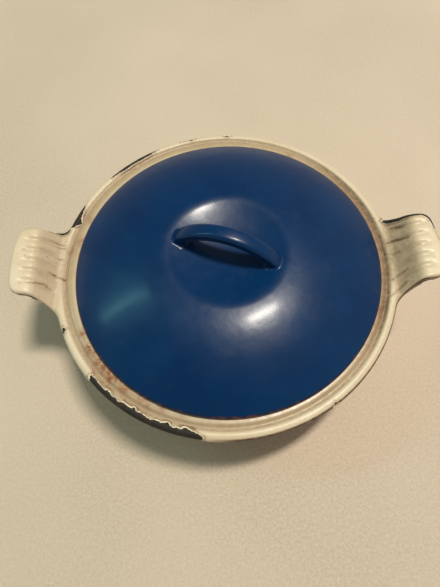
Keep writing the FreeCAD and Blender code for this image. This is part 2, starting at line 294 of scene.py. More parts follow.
WING_TOP = rounded([
    (112.0, SEAT_Z - 4.3, 0),
    (126.5, SEAT_Z - 1.0, 9.0),
    (140.0, SEAT_Z + 18.4, 11.0),
    (WING_TIP + 1, SEAT_Z + 19.6, 0),
], 0.2)
WING_UNDER = rounded([
    (100.0, SEAT_Z - 7.2, 0),
    (131.0, SEAT_Z - 7.2, 17.0),
    (144.2, SEAT_Z + 11.0, 5.0),
    (WING_TIP + 1, SEAT_Z + 11.6, 0),
], 0.2)
BEAD = rounded([
    (GROOVE_R - 2.0, GROOVE_Z + 2.4, 0),
    (GROOVE_R, GROOVE_Z, 2.2),
    (BEAD_INNER_R, RIM_TOP_Z, 2.5),
    (WING_TIP + 1, RIM_TOP_Z, 0),
], 0.2)
# How far apart the flutes are, as a share of their pitch, at these distances out
FLUTE_FAN = ((125.0, 129.0, 134.0, 140.0), (1.3, 1.2, 1.1, 1.0))
FLUTE_START, FLUTE_END = (125.5, 132.0), (144.8, 151.2)
BLEND = 1.0
# Where the rim's underside gives way to a handle's, and how far each steps aside for the other
RIM_LEAVES, RIM_ASIDE, HANDLE_ASIDE = (128.0, 139.0), 30.0, 20.0


def flute_depth(x, y):
    """How deep the flutes are cut at each point of the handles' top face, 0 to 1."""
    place = np.abs(y) / (FLUTE_PITCH * np.interp(x, *FLUTE_FAN))
    nearest = np.clip(np.round(place), 0, FLUTES // 2)
    across = np.clip(np.abs(place - nearest) * FLUTE_PITCH / FLUTE_HALF_WIDTH, 0, 1)
    return (1 - across ** 2) ** 2 * smoothstep(*FLUTE_START, x) * (1 - smoothstep(*FLUTE_END, x))


def top_height(x, y):
    """Height of the pot's top face from the groove outwards."""
    x = np.abs(x)
    bead = np.interp(np.hypot(x, y), BEAD[:, 0], BEAD[:, 1])
    handle = np.interp(x, WING_TOP[:, 0], WING_TOP[:, 1])
    return smooth_max(bead, handle, BLEND) - FLUTE_DEPTH * flute_depth(x, y)


def under_height(x, y, wing):
    """Height of the underside of the rim and the handles. wing is 1 on rays through a handle and 0 elsewhere."""
    r = np.hypot(x, y)
    rim = WALL_TOP[1] + (r - WALL_TOP[0]) * (RIM_UNDER_Z - WALL_TOP[1]) / (RIM_R - WALL_TOP[0])
    rim = rim + wing * RIM_ASIDE * smoothstep(*RIM_LEAVES, r)
    handle = np.interp(np.abs(x), WING_UNDER[:, 0], WING_UNDER[:, 1]) + (1 - wing) * HANDLE_ASIDE
    return smooth_min(rim, handle, BLEND)


def pick_rays():
    """Directions of the rays: close together on the handles and the chips, further apart on the plain rim."""
    along = np.linspace(0, 4 * QUARTER, 8001)
    quarter = along % (2 * QUARTER)
    quarter = np.minimum(quarter, 2 * QUARTER - quarter)
    spacing = np.where(quarter < FLARE_END, WING_STEP, RIM_STEP)
    for one in CHIPS:
        first, last = one["length"][0] - CHIP_MARGIN, one["length"][-1] + CHIP_MARGIN
        inside = (along > first) & (along < last)
        spacing = np.where(inside, np.minimum(spacing, CHIP_STEP), spacing)
    count = np.concatenate([[0], np.cumsum(np.diff(along) / spacing[:-1])])
    rays = int(count[-1] / 2) * 2
    place = np.interp(np.arange(rays) * count[-1] / rays, count, along)
    index, rest = (place // QUARTER).astype(int), place % QUARTER
    even = index % 2 == 0
    turn = np.interp(np.where(even, rest, QUARTER - rest), OUTLINE_ALONG, OUTLINE_TURN)
    return np.where(even, index * math.pi / 2 + turn, (index + 1) * math.pi / 2 - turn)


def chip(knots, ragged=1.0):
    """A place where the enamel has come off. Each knot is where it is along the outline, then how far in from the
    outline and how far past it the chip reaches, in millimetres along the surface. The place is a direction in
    degrees, or on a handle a point x, y beside the outline. ragged is how uneven its edge is."""
    found = []
    for *place, inwards, past in knots:
        on_handle = len(place) == 2
        length = outline_length(*place) if on_handle else length_at(math.radians(place[0] % 360))
        found.append((float(length), inwards, past))
    length, inwards, past = np.array(sorted(found)).T
    return {"length": length, "inwards": inwards, "past": past, "ragged": ragged}


def whole_outline():
    """The whole plan outline of the pot, with the length along it at each point."""
    turns, lengths = [], []
    for index in (0, 2):
        turns += [index * math.pi / 2 + OUTLINE_TURN, (index + 2) * math.pi / 2 - OUTLINE_TURN[::-1]]
        lengths += [index * QUARTER + OUTLINE_ALONG, (index + 2) * QUARTER - OUTLINE_ALONG[::-1]]
    turns = np.concatenate(turns)
    r = silhouette(turns, 0.0)
    return np.stack([r * np.cos(turns), r * np.sin(turns)], 1), np.concatenate(lengths)


RING, RING_LENGTH = whole_outline()
ring_tree = KDTree(len(RING))
for i, (x, y) in enumerate(RING):
    ring_tree.insert((x, y, 0.0), i)
ring_tree.balance()


def outline_length(x, y):
    """Length along the whole outline at the place nearest to (x, y)."""
    return RING_LENGTH[ring_tree.find((x, y, 0.0))[1]]


WING_STEP, RIM_STEP, CHIP_STEP, CHIP_MARGIN = 0.75, 3.0, 0.75, 4.0
FLARE_END = OUTLINE_ALONG[np.argmin(np.abs(np.hypot(OUTLINE[:, 0], OUTLINE[:, 1]) - RIM_R - 0.02))]
CHIPS = [
    # the long one at the near left, from the bead's crest down over the outer side
    chip([
        (-138.6, 4.2, 12), (-137.2, 5.4, 14), (-134, 4.4, 16), (-131, 5, 16),
        (-128, 4.4, 16), (-124, 5, 16), (-121, 6.2, 16), (-117, 4.8, 16),
        (-113.5, 5, 16), (-110.5, 6.8, 16), (-107, 5.2, 16), (-103.5, 6.4, 16),
        (-101, 6, 14), (-99.4, 4.6, 10), (-97.8, 1.5, 4),
    ], 1.3),
    # the far left one
    chip([
        (115.8, 3.4, 1.5), (119, 5.2, 4), (126, 5.6, 6), (132, 5.4, 5), (137, 3.4, 1.5),
    ], 0.6),
    # two small ones at the far rim
    chip([(100.4, 3, 0.5), (101.6, 4.4, 2), (103, 3, 1.5), (105.6, 2.6, 0.5)], 0.7),
    chip([(85.6, 2.6, 0.5), (87.1, 4.2, 1.5), (88.6, 2.6, 0.5)], 0.7),
    # the triangle at the left handle's far root
    chip([
        (149.6, 0, 1), (153, 3.6, 6), (157, 6.4, 8), (160, 7.6, 8), (162.2, 5, 5),
        (163.2, 1, 1),
    ]),
    # and the small one beside it
    chip([
        (-123.6, 38.5, 2, 1), (-125.5, 36, 4.6, 3), (-129, 33, 4, 3), (-134.5, 30, 1, 0.5),
    ], 0.6),
    # the right handle's far edge
    chip([
        (128.4, 34.9, 4.8, 12), (130.5, 33, 4.6, 12), (135, 29.5, 4.4, 9), (140, 28, 3.6, 8),
        (147, 27.5, 3.4, 8), (151.5, 26, 3.8, 8), (155.5, 21.5, 3.6, 7), (157.4, 12, 2.4, 5),
        (157.5, 3, 0.8, 2.5),
    ], 0.2),
    # along the lower edge of both handles' near sides
    chip([
        (154.5, -23, -4.5, 5.6), (149, -27.5, -2.2, 7.5), (139.5, -28, -1.8, 8),
        (132, -31.5, -2, 8.5), (129.5, -33.5, -4, 7),
    ], 0.2),
    chip([
        (-157, -15, -4, 5.6), (-153.5, -24.5, -1.6, 7.5), (-145, -27.5, -1.8, 7.5),
        (-137, -28.5, -3, 8), (-129, -34, -2.8, 8.5), (-121.2, -47, -5, 6),
    ], 0.35),
    # two specks
    chip([(-158.4, 2.2, 1), (-157.2, 4.6, 4), (-156, 2.2, 1)], 0.5),
    chip([(-57.9, -0.4, 2.5), (-56.9, 2.2, 5), (-55.8, -0.4, 2.5)], 0.5),
]
# The noise that makes their edges uneven: how strong, how large and its seed
CHIP_NOISE = ((1.15, 5.2, 3.1), (0.55, 1.3, 8.4))

TOP_RINGS, BEND_RINGS, UNDER_BEND_RINGS, UNDER_RINGS = 26, 7, 5, 12
TOP_START, EDGE_R, WING_EDGE_R = GROOVE_R, 4.0, 3.0
THINNEST_SIDE, SIDE_FADE = 0.5, (14.0, 5.0)
INSET_STEP = 0.02
UNDER_EDGE_R, WING_UNDER_EDGE_R = 3.5, 2.2
UNDER_END = 121.0


def rim_grid():
    """The rim and both handles from the groove over the top, round the edge and back underneath.

    Returns points by ring and ray, and for each how far it is past the outline along the surface."""
    turn = pick_rays()
    reach = silhouette(turn, 0.0)
    wing = smoothstep(0.0, 6.0, reach - RIM_R)
    edge = EDGE_R + (WING_EDGE_R - EDGE_R) * wing
    under_edge = UNDER_EDGE_R + (WING_UNDER_EDGE_R - UNDER_EDGE_R) * wing
    cos, sin = np.cos(turn), np.sin(turn)
    rings, past = [], []

    def inset_reach(inset):
        return silhouette(turn, np.round(inset / INSET_STEP) * INSET_STEP)

    def at(r, z, beyond):
        rings.append(np.stack([r * cos, r * sin, z], -1))
        past.append(np.broadcast_to(beyond, r.shape).astype(float))

    side_top = top_height(reach * cos, reach * sin) - edge
    side_low = under_height(reach * cos, reach * sin, wing) + under_edge + THINNEST_SIDE
    missing = np.maximum(side_low - side_top, 0)

    def underside(r):
        """The underside, lowered near the edge where the side would be too thin."""
        lowered = missing * smoothstep(reach - SIDE_FADE[0], reach - SIDE_FADE[1], r)
        return under_height(r * cos, r * sin, wing) - lowered

    crest = RIM_R - EDGE_R
    start = inset_reach(edge)
    extra = np.maximum(start - crest, 0)
    long = smoothstep(0.0, 6.0, extra)
    for u in np.linspace(0, 1, TOP_RINGS):
        quick = 0.9 * (1 - (1 - min(u / 0.35, 1)) ** 2) + 0.1 * u
        r = TOP_START + (np.minimum(start, crest) - TOP_START) * (u + (quick - u) * long)
        r = r + extra * (u + (max(u - 0.12, 0) / 0.88 - u) * long)
        at(r, top_height(r * cos, r * sin), r - reach)
    for fraction in np.linspace(0, 1, BEND_RINGS + 1)[1:]:
        bend = fraction * math.pi / 2
        r = inset_reach(edge * (1 - math.sin(bend)))
        at(r, top_height(r * cos, r * sin) - edge * (1 - math.cos(bend)), edge * (bend - 1))
    side_foot = underside(reach) + under_edge
    arc = edge * (math.pi / 2 - 1)
    for fraction in (0.33, 0.67, 1.0):
        at(reach, side_top + (side_foot - side_top) * fraction, arc + (side_top - side_foot) * fraction)
    arc = arc + side_top - side_foot
    for fraction in np.linspace(0, 1, UNDER_BEND_RINGS + 1)[1:]:
        bend = fraction * math.pi / 2
        r = inset_reach(under_edge * (1 - math.cos(bend)))
        z = underside(r) + under_edge * (1 - math.sin(bend))
        at(r, z, arc + under_edge * bend)
    arc, start = arc + under_edge * math.pi / 2, r
    for u in np.linspace(0, 1, UNDER_RINGS + 1)[1:]:
        r = start + (UNDER_END - start) * u
        at(r, underside(r), arc + start - r)
    return np.array(rings), np.array(past), turn


def grid_normals(grid):
    """Outward unit normals of a grid of points by ring and ray, closed round the rays."""
    down = np.gradient(grid, axis=0)
    round_it = np.roll(grid, -1, axis=1) - np.roll(grid, 1, axis=1)
    return unit(np.cross(down, round_it))


def chip_field(grid, past):
    """Where the enamel is missing: millimetres to the nearest chip's edge, positive inside the chip."""
    flat = grid.reshape(-1, 3)
    found = [ring_tree.find((x, y, 0.0)) for x, y, _ in flat.tolist()]
    length = RING_LENGTH[[hit[1] for hit in found]].reshape(past.shape)
    distance = np.array([hit[2] for hit in found]).reshape(past.shape)
    top = np.arange(len(grid)) < TOP_RINGS
    beyond = np.where(top[:, None], -distance, past)
    field, ragged = np.full(past.shape, -30.0), np.ones(past.shape)
    for one in CHIPS:
        inwards = np.interp(length, one["length"], one["inwards"])
        reach = np.interp(length, one["length"], one["past"])
        ends = np.minimum(length - one["length"][0], one["length"][-1] - length)
        here = np.minimum(np.minimum(beyond + inwards, reach - beyond), ends)
        ragged = np.where(here > field, one["ragged"], ragged)
        field = np.maximum(field, here)
    near = np.abs(field) < 4.0
    spots = flat[near.ravel()]
    uneven = sum(strong * fractal(spots, size, 2, seed) for strong, size, seed in CHIP_NOISE)
    field[near] += uneven * ragged[near]
    return field


NEIGHBOURS = ((0, 1), (0, -1), (1, 1), (1, -1))


def snapped(grid, field):
    """The grid and field with the points nearest to the chips' edges moved onto them."""
    grid, field = grid.copy(), field.copy()
    best = np.full(field.shape, 0.5)
    target = grid.copy()
    for axis, step in NEIGHBOURS:
        other, there = np.roll(field, -step, axis=axis), np.roll(grid, -step, axis=axis)
        if axis == 0:
            other[-1 if step == 1 else 0] = field[-1 if step == 1 else 0]
        crosses = (field * other) < 0
        share = np.where(crosses, field / np.where(crosses, field - other, 1), 1.0)
        nearer = share < best
        best = np.where(nearer, share, best)
        target = np.where(nearer[..., None], grid + (there - grid) * share[..., None], target)
    moved = best < 0.5
    return np.where(moved[..., None], target, grid), np.where(moved, 0.0, field)


def coat_faces(field):
    """Faces of the grid where the enamel is still there, as index lists, cut where a chip's edge crosses."""
    rings, rays = field.shape
    quads = ring_faces(rings, rays)
    value = field.ravel()[quads]
    whole = (value <= 0).all(1)
    faces = quads[whole].tolist()
    for quad, v in zip(quads[~whole].tolist(), value[~whole].tolist()):
        for corners in ((0, 1, 2), (2, 3, 0), (1, 2, 3), (3, 0, 1)):
            if all(v[c] <= 0 for c in corners) and sum(v[c] == 0 for c in corners) >= 2:
                faces.append([quad[c] for c in corners])
                break
    return faces


def shell(points, normals, faces, depth, spread):
    """Closes an open sheet of faces into a coat depth thick: vertices, faces and the sheet's points that are used.

    spread moves the inner side's points."""
    used = np.unique(np.concatenate([np.array(f) for f in faces]))
    index = np.full(len(points), -1)
    index[used] = np.arange(len(used))
    outer = points[used]
    inner = outer - normals[used] * depth + spread[used]
    top = [[int(index[i]) for i in f] for f in faces]
    edges = {}
    for f in top:
        for a, b in zip(f, f[1:] + f[:1]):
            if (b, a) in edges:
                del edges[(b, a)]
            else:
                edges[(a, b)] = True
    count = len(used)
    bottom = [[i + count for i in reversed(f)] for f in top]
    sides = [[b, a, a + count, b + count] for a, b in edges]
    return np.vstack([outer, inner]), top + bottom + sides, used


# Materials --------------------------------------

def linear(*colour):
    """A colour given as it looks on a screen, 0 to 255, as linear RGBA."""
    c = np.array(colour, float) / 255
    return (*np.where(c <= 0.04045, c / 12.92, ((c + 0.055) / 1.055) ** 2.4), 1.0)


class Graph:
    """A material and short calls that add nodes to it. Every texture is laid out in object space, in metres."""

    def __init__(self, name):
        self.material = bpy.data.materials.new(name)
        self.material.use_nodes = True
        self.nodes, self.links = self.material.node_tree.nodes, self.material.node_tree.links
        self.shader = self.nodes["Principled BSDF"]
        self.place = self.nodes.new("ShaderNodeTexCoord").outputs["Object"]

    def put(self, socket, value):
        if isinstance(value, bpy.types.NodeSocket):
            self.links.new(value, socket)
        else:
            socket.default_value = value

    def set(self, **values):
        for name, value in values.items():
            self.put(self.shader.inputs[name.replace("_", " ")], value)

    def noise(self, size_mm, detail=3.0, roughness=0.55, stretch=None):
        node = self.nodes.new("ShaderNodeTexNoise")
        node.inputs["Scale"].default_value = 1000.0 / size_mm
        node.inputs["Detail"].default_value = detail
        node.inputs["Roughness"].default_value = roughness
        place = self.place
        if stretch:
            mapping = self.nodes.new("ShaderNodeMapping")
            mapping.inputs["Rotation"].default_value[2] = stretch[1]
            mapping.inputs["Scale"].default_value = (1.0, stretch[0], 1.0)
            self.links.new(place, mapping.inputs["Vector"])
            place = mapping.outputs["Vector"]
        self.links.new(place, node.inputs["Vector"])
        return node.outputs["Fac"]

    def ramp(self, value, start, end, low=0.0, high=1.0):
        """Grey that goes from low to high as value goes from start to end."""
        node = self.nodes.new("ShaderNodeValToRGB")
        for element, position, grey in zip(node.color_ramp.elements, (start, end), (low, high)):
            element.position, element.color = position, (grey, grey, grey, 1.0)
        self.put(node.inputs["Fac"], value)
        return node.outputs["Color"]

    def mix(self, factor, a, b):
        node = self.nodes.new("ShaderNodeMix")
        node.data_type = "RGBA"
        self.put(node.inputs[0], factor)
        self.put(node.inputs[6], a)
        self.put(node.inputs[7], b)
        return node.outputs[2]

    def math(self, operation, a, b):
        node = self.nodes.new("ShaderNodeMath")
        node.operation, node.use_clamp = operation, True
        self.put(node.inputs[0], a)
        self.put(node.inputs[1], b)
        return node.outputs[0]

    def marks(self):
        """The three numbers of the mesh's own marks."""
        read = self.nodes.new("ShaderNodeAttribute")
        read.attribute_name = "marks"
        split = self.nodes.new("ShaderNodeSeparateColor")
        self.links.new(read.outputs["Color"], split.inputs["Color"])
        return [split.outputs[i] for i in range(3)]

    def bump(self, height, depth_mm, strength=1.0, onto=None):
        node = self.nodes.new("ShaderNodeBump")
        node.inputs["Distance"].default_value = depth_mm * MM
        node.inputs["Strength"].default_value = strength
        self.links.new(height, node.inputs["Height"])
        if onto is not None:
            self.links.new(onto, node.inputs["Normal"])
        return node.outputs["Normal"]


def cream_enamel():
    """Old cream glaze: yellowed in patches, with brown dirt and painted shade in its marks, rust round its chips
    and worn gloss.
    """
    g = Graph("cream_enamel_worn")
    dirt_and_shade, rust, broken = g.marks()
    cloud, speck, fine = g.noise(38.0, 4.0), g.noise(3.2, 5.0, 0.65), g.noise(0.9, 3.0, 0.6)
    clean = g.mix(g.ramp(cloud, 0.35, 0.7), linear(228, 214, 186), linear(216, 198, 166))
    uneven = g.math("MULTIPLY", dirt_and_shade, g.ramp(speck, 0.25, 0.7, 0.55))
    soiled_and_shaded = g.ramp(uneven, 0.0, 1.0)
    tan = g.mix(g.ramp(soiled_and_shaded, 0.02, 0.42), clean, linear(170, 146, 115))
    brown = g.mix(g.ramp(soiled_and_shaded, 0.42, 0.85), tan, linear(74, 56, 40))
    rusty = g.math("MULTIPLY", rust, g.ramp(g.noise(4.5, 4.0, 0.7), 0.38, 0.62, 0.25))
    orange = g.mix(rusty, brown, g.mix(fine, linear(150, 82, 36), linear(92, 44, 22)))
    pits = g.ramp(g.noise(1.9, 2.0, 0.5), 0.69, 0.72)
    spotted = g.mix(g.math("MULTIPLY", pits, 0.55), orange, linear(120, 88, 58))
    colour = g.mix(broken, spotted, linear(246, 234, 208))
    rough = g.ramp(g.math("MAXIMUM", soiled_and_shaded, rusty), 0.0, 0.8, 0.38, 0.66)
    worn = g.mix(g.ramp(g.noise(16.0, 5.0, 0.7), 0.45, 0.65), rough, linear(190, 190, 190))
    g.set(Base_Color=colour, Roughness=worn, Coat_Weight=0.12, Coat_Roughness=0.3, IOR=1.5)
    ripple = g.bump(g.noise(9.0, 2.0), 0.22)
    lumps = g.bump(g.noise(2.6, 3.0, 0.6), 0.22, 1.0, ripple)
    g.set(Normal=g.bump(g.math("ADD", fine, soiled_and_shaded), 0.05, 0.6, lumps))
    return g.material


def inner_enamel():
    """The cream glaze inside the pot and the lid, darker, and stained brown where food has cooked on it, with
    painted shade in the rim's groove.
    """
    g = Graph("cream_enamel_inside")
    dirt_and_shade, rust, _ = g.marks()
    cloud, speck = g.noise(30.0, 5.0, 0.6), g.noise(4.0, 5.0, 0.65)
    clean = g.mix(g.ramp(cloud, 0.35, 0.7), linear(206, 189, 158), linear(188, 167, 134))
    uneven = g.math("MULTIPLY", dirt_and_shade, g.ramp(speck, 0.2, 0.7, 0.5))
    tan = g.mix(g.ramp(uneven, 0.05, 0.5), clean, linear(160, 134, 102))
    brown = g.mix(g.ramp(uneven, 0.5, 0.95), tan, linear(80, 56, 38))
    rusty = g.math("MULTIPLY", rust, g.ramp(g.noise(3.5, 4.0, 0.7), 0.36, 0.58, 0.15))
    orange = g.mix(rusty, brown, g.mix(speck, linear(168, 92, 40), linear(96, 48, 24)))
    rough = g.ramp(speck, 0.3, 0.7, 0.34, 0.5)
    g.set(Base_Color=orange, Roughness=rough, Coat_Weight=0.2, Coat_Roughness=0.25, IOR=1.5)
    g.set(Normal=g.bump(g.noise(8.0, 3.0), 0.2))
    return g.material


def blue_enamel():
    """Deep blue glaze, glossy and faintly uneven, with haze, pinholes and a line at its foot of rust and painted
    shade.
    """
    g = Graph("blue_enamel_glossy")
    cloud, haze = g.noise(46.0, 4.0, 0.6), g.noise(14.0, 6.0, 0.7)
    blue = g.mix(g.ramp(cloud, 0.35, 0.68), linear(0, 41, 84), linear(1, 48, 92))
    dusty = g.mix(g.ramp(haze, 0.55, 0.85, 0.0, 0.07), blue, linear(72, 90, 110))
    scuffs = g.ramp(g.noise(2.2, 4.0, 0.7, (0.06, 0.6)), 0.71, 0.78, 0.0, 0.3)
    scratched = g.mix(scuffs, dusty, linear(120, 140, 160))
    pinholes = g.ramp(g.noise(3.0, 1.0, 0.4), 0.765, 0.785)
    rust = g.marks()[1]
    marked = g.mix(g.math("MULTIPLY", pinholes, 0.8), scratched, linear(20, 24, 32))
    # The line at the lid's foot: rust and dark iron, made darker as painted shade of the gap under the lid
    edge = g.math("MULTIPLY", rust, g.ramp(g.noise(5.0, 4.0, 0.7), 0.38, 0.6, 0.55))
    foot_rust_and_shade = g.ramp(g.noise(6.0, 3.0, 0.6), 0.5, 0.62)
    worn = g.mix(edge, marked, g.mix(foot_rust_and_shade, linear(40, 31, 28), linear(92, 50, 36)))
    rough = g.ramp(haze, 0.3, 0.75, 0.27, 0.38)
    g.set(Base_Color=worn, Roughness=rough, Coat_Weight=0.12, Coat_Roughness=0.14, IOR=1.5)
    g.set(Specular_IOR_Level=0.26)
    peel = g.bump(g.noise(11.0, 2.0, 0.45), 0.16)
    g.set(Normal=g.bump(g.noise(1.4, 3.0, 0.6), 0.012, 1.0, peel))
    return g.material


def bare_iron():
    """Bare cast iron: dark, grainy, with rust in patches."""
    g = Graph("cast_iron_bare")
    grain, patch, fine = g.noise(1.1, 4.0, 0.7), g.noise(9.0, 5.0, 0.65), g.noise(0.45, 3.0, 0.6)
    dark = g.mix(grain, linear(28, 27, 24), linear(56, 52, 44))
    rust = g.mix(grain, linear(74, 48, 30), linear(104, 66, 38))
    brown = g.mix(g.ramp(patch, 0.52, 0.7, 0.0, 0.55), dark, rust)
    g.set(Base_Color=brown, Metallic=0.25, Roughness=g.ramp(grain, 0.3, 0.7, 0.6, 0.82))
    g.set(Normal=g.bump(fine, 0.06, 1.0, g.bump(grain, 0.22)))
    return g.material


def floor_material():
    """Plain pale floor with faint broad patches and a fine grain."""
    g = Graph("pale_floor")
    broad = g.ramp(g.noise(330.0, 3.0), 0.4, 0.66)
    tone = g.mix(broad, linear(209, 192, 173), linear(189, 173, 154))
    grain = g.mix(g.ramp(g.noise(2.2, 4.0, 0.8), 0.34, 0.68), tone, linear(216, 201, 180))
    g.set(Base_Color=grain, Roughness=0.85)
    g.set(Normal=g.bump(g.noise(2.2, 4.0, 0.75), 0.3))
    return g.material


CREAM, CREAM_INSIDE, BLUE, IRON = cream_enamel(), inner_enamel(), blue_enamel(), bare_iron()


# The pot ----------------------------------------

# Dirt lines on the handles: how dark, half their width in millimetres, and points in plan
DIRT_LINES = [
    (0.55, 0.6, [(-124.5, 21.2), (-134, 21)]),
    (0.55, 0.6, [(-125, 17.8), (-133, 17.6)]),
    (1, 0.75, [(-121.8, -9.2), (-126.7, -7.8), (-132, -5.8)]),
    (0.6, 0.6, [(-131, -19.2), (-133.5, -16.4), (-142, -18.8)]),
    (0.7, 0.9, [(-148.8, 8.4), (-148, 8.8)]),
    (0.6, 0.7, [(129.8, 22.8), (135.7, 19.5)]),
    (0.85, 0.75, [(124.8, 11.2), (129, 12), (137.3, 8.7)]),
    (0.8, 0.7, [(142, 0.3), (142.6, 0.4)]),
    (0.55, 0.9, [(124, -20), (128, -17.6), (133, -15.5)]),
    (0.45, 0.9, [(120.7, -33), (131.5, -24.7)]),
    (0.5, 0.8, [(126, 1.5), (131, 1)]),
    (0.5, 0.8, [(-126, 8), (-130, 8.2)]),
]
# Rust stains on the ledge and the rim: how strong, direction in degrees, distance from the axis, and their size
RUST_SPOTS = [
    (1.5, -146, 115.8, 5), (1.8, -139, 116.2, 5.5), (1.6, -133, 116.4, 5), (1.2, -127, 116.4, 4.5),
    (1, -120, 116.2, 4), (0.8, -113, 116.2, 3.5), (0.6, -106, 116.2, 3), (1, -153, 115.8, 4),
    (1.2, -21, 116, 4), (0.7, -15, 116.2, 3), (0.5, 158, 116, 4), (0.8, 168, 115.6, 3.5),
    (0.7, 172, 122.8, 3), (0.5, -117, 120, 2.5), (0.6, -11, 150, 2.5), (0.5, 60, 118, 3),
]


# How strong the darkening is on the ledge (dirt), the groove (dirt and painted shade), the handles' slopes (left,
# right: stain, and painted shade on the right), the bead and the flutes
LEDGE_DIRT, GROOVE_DIRT_AND_SHADE, SLOPE_STAIN_AND_SHADE, BEAD_DIRT, FLUTE_DIRT = 0.32, 0.2, (0.18, 0.36), 0.07, 0.1
# How much darker the ledge gets towards the right
RIGHT_SIDE_MORE = 1.3
# Dirt and rust round a chip: how strong, how far
CHIP_DIRT, CHIP_RUST = (0.4, 2.6), (0.45, 1.8)
# Painted shade along the rim's lower edge on the near side, between these directions in degrees
LOWER_EDGE_SHADE, NEAR_SIDE_START, NEAR_SIDE_END = 0.95, (-98, -86), (-12, -8)
UNDERSIDE_SHARE = 0.4
# A chip's edge: how pale the broken glaze is, and how far it slants in under the coat
BROKEN, UNDERCUT = 0.8, 0.45
# The iron lies this far below the coat, and is this uneven
IRON_GAP, IRON_ROUGHNESS = 0.01, 0.09


def line_distance(points, line):
    """Distance in plan from each point to a line of plan points."""
    best = np.full(len(points), 1e9)
    for a, b in zip(np.array(line[:-1]), np.array(line[1:])):
        share = np.clip(((points - a) @ (b - a)) / ((b - a) @ (b - a)), 0, 1)
        best = np.minimum(best, np.linalg.norm(points - a - share[:, None] * (b - a), axis=1))
    return best


def soiling_and_shade(points):
    """Dirt with painted shade, and rust, 0 to 1, at points on the top of the pot."""
    plan = points[:, :2]
    r = np.hypot(plan[:, 0], plan[:, 1])
    out = np.abs(plan[:, 0])
    # The ledge is darker towards the right
    right = smoothstep(60, 115, plan[:, 0]) * smoothstep(-90, -40, plan[:, 1])
    ledge = smoothstep(116.0, 117.5, r) * (1 - smoothstep(123.5, 125.5, r))
    dirt_and_shade = LEDGE_DIRT * ledge * (1 + RIGHT_SIDE_MORE * right)
    # Dirt and painted shade in the groove's crease between the ledge and the bead
    dirt_and_shade += GROOVE_DIRT_AND_SHADE * np.exp(-(r - GROOVE_R) ** 2)
    # The handles' inner slopes: stain on the left, stain and painted shade on the right, which faces away from the
    # key light
    slope = smoothstep(121.5, 127.0, out) * (1 - smoothstep(137.0, 144.0, out))
    dirt_and_shade += slope * smoothstep(RIM_R - 8, RIM_R - 4, r) * np.where(plan[:, 0] > 0, SLOPE_STAIN_AND_SHADE[1], SLOPE_STAIN_AND_SHADE[0])
    dirt_and_shade += BEAD_DIRT * smoothstep(124, 126, r) * (r < RIM_R)
    dirt_and_shade += FLUTE_DIRT * flute_depth(out, plan[:, 1])
    patchy = 0.65 + 0.5 * fractal(points, 3.0, 2, 6.0)
    for strength, half_width, line in DIRT_LINES:
        dirt_and_shade += strength * patchy * np.exp(-(line_distance(plan, line) / half_width) ** 2)
    rust = np.zeros(len(points))
    for strength, turn, distance, size in RUST_SPOTS:
        spot = distance * np.array([math.cos(math.radians(turn)), math.sin(math.radians(turn))])
        rust += strength * np.exp(-(np.linalg.norm(plan - spot, axis=1) / size) ** 2)
    return np.clip(dirt_and_shade, 0, 1), np.clip(rust, 0, 1)


def meridians():
    """The enamel's lines of (r, z): the inside with the ledge, the wall outside, and the base inside the foot."""
    inside = rounded([
        (0.0, INSIDE_FLOOR[1], 0),
        (*INSIDE_FLOOR, 20.0),
        (MOUTH_R, SEAT_Z, 1.5),
        (LEDGE_R, SEAT_Z, 2.0),
        (GROOVE_R, GROOVE_Z, 2.2),
        (BEAD_INNER_R, RIM_TOP_Z, 0),
    ])
    inside = inside[inside[:, 0] <= TOP_START]
    inside = np.vstack([inside, [[TOP_START, top_height(0.0, TOP_START)]]])
    wall = rounded([
        (UNDER_END, under_height(0.0, UNDER_END, 0.0), 0),
        (*WALL_TOP, 6.0),
        (WALL_FOOT_R, BASE_Z, 24.0),
        (FOOT[1], BASE_Z, 0),
    ])
    base = np.array([[FOOT[0], BASE_Z], [0.0, BASE_Z]])
    ledge = inside[:, 0] >= MOUTH_R
    inside = np.vstack([refined(inside[~ledge], 4.0), refined(inside[ledge], 1.2)])
    return inside, refined(wall, 4.0), refined(base, 6.0)


